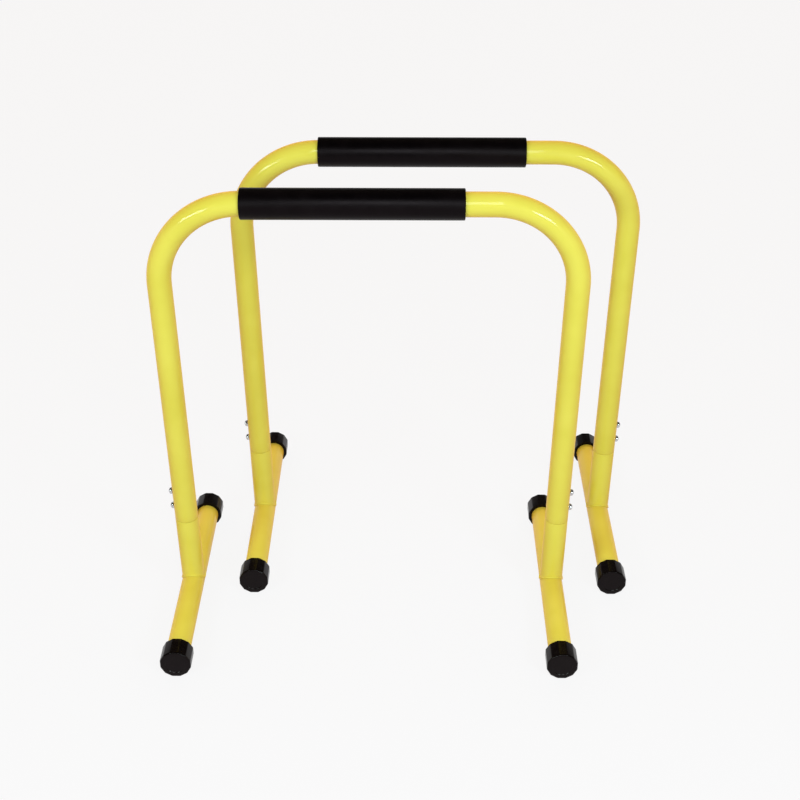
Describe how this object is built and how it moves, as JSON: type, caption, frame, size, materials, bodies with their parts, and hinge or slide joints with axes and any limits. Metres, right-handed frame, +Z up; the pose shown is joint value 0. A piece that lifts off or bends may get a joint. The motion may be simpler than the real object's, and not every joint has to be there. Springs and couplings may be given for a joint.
{
  "type": "parallel dip bars",
  "caption": "Free-standing parallel dip bars: each an inverted U of bent steel tube on cross tubes with push-on caps, with a foam grip on its straight top.",
  "frame": {"origin": "on the floor, in the middle of the pair", "axes": "+X along the grips, +Y from the front bar to the rear bar, +Z up"},
  "size_m": [0.7816, 0.668, 0.7423],
  "materials": {
    "yellow_powder_coat": "gloss powder coat",
    "black_foam": "matt closed-cell foam",
    "black_plastic": "satin moulded plastic",
    "chrome_plate": "polished",
    "bare_steel": "plain"
  },
  "bodies": {
    "front_bar": {"front_u_tube": "yellow_powder_coat", "front_foam_grip": "black_foam", "front_left_base_tube": "yellow_powder_coat", "front_left_leg_stub": "yellow_powder_coat", "front_left_joint_sleeve": "bare_steel", "front_left_near_cap": "black_plastic", "front_left_far_cap": "black_plastic", "front_left_lower_screw": "chrome_plate", "front_left_upper_screw": "chrome_plate", "front_left_lower_washer": "chrome_plate", "front_left_upper_washer": "chrome_plate", "front_left_lower_nut": "bare_steel", "front_left_upper_nut": "bare_steel", "front_right_base_tube": "yellow_powder_coat", "front_right_leg_stub": "yellow_powder_coat", "front_right_joint_sleeve": "bare_steel", "front_right_near_cap": "black_plastic", "front_right_far_cap": "black_plastic", "front_right_lower_screw": "chrome_plate", "front_right_upper_screw": "chrome_plate", "front_right_lower_washer": "chrome_plate", "front_right_upper_washer": "chrome_plate", "front_right_lower_nut": "bare_steel", "front_right_upper_nut": "bare_steel"},
    "rear_bar": {"rear_u_tube": "yellow_powder_coat", "rear_foam_grip": "black_foam", "rear_left_base_tube": "yellow_powder_coat", "rear_left_leg_stub": "yellow_powder_coat", "rear_left_joint_sleeve": "bare_steel", "rear_left_near_cap": "black_plastic", "rear_left_far_cap": "black_plastic", "rear_left_lower_screw": "chrome_plate", "rear_left_upper_screw": "chrome_plate", "rear_left_lower_washer": "chrome_plate", "rear_left_upper_washer": "chrome_plate", "rear_left_lower_nut": "bare_steel", "rear_left_upper_nut": "bare_steel", "rear_right_base_tube": "yellow_powder_coat", "rear_right_leg_stub": "yellow_powder_coat", "rear_right_joint_sleeve": "bare_steel", "rear_right_near_cap": "black_plastic", "rear_right_far_cap": "black_plastic", "rear_right_lower_screw": "chrome_plate", "rear_right_upper_screw": "chrome_plate", "rear_right_lower_washer": "chrome_plate", "rear_right_upper_washer": "chrome_plate", "rear_right_lower_nut": "bare_steel", "rear_right_upper_nut": "bare_steel"}
  },
  "joints": [
    {"name": "bar_spacing", "type": "slide", "parent": "front_bar", "child": "rear_bar", "axis": [0, 1, 0], "range_m": [-0.15, 0.45]}
  ]
}
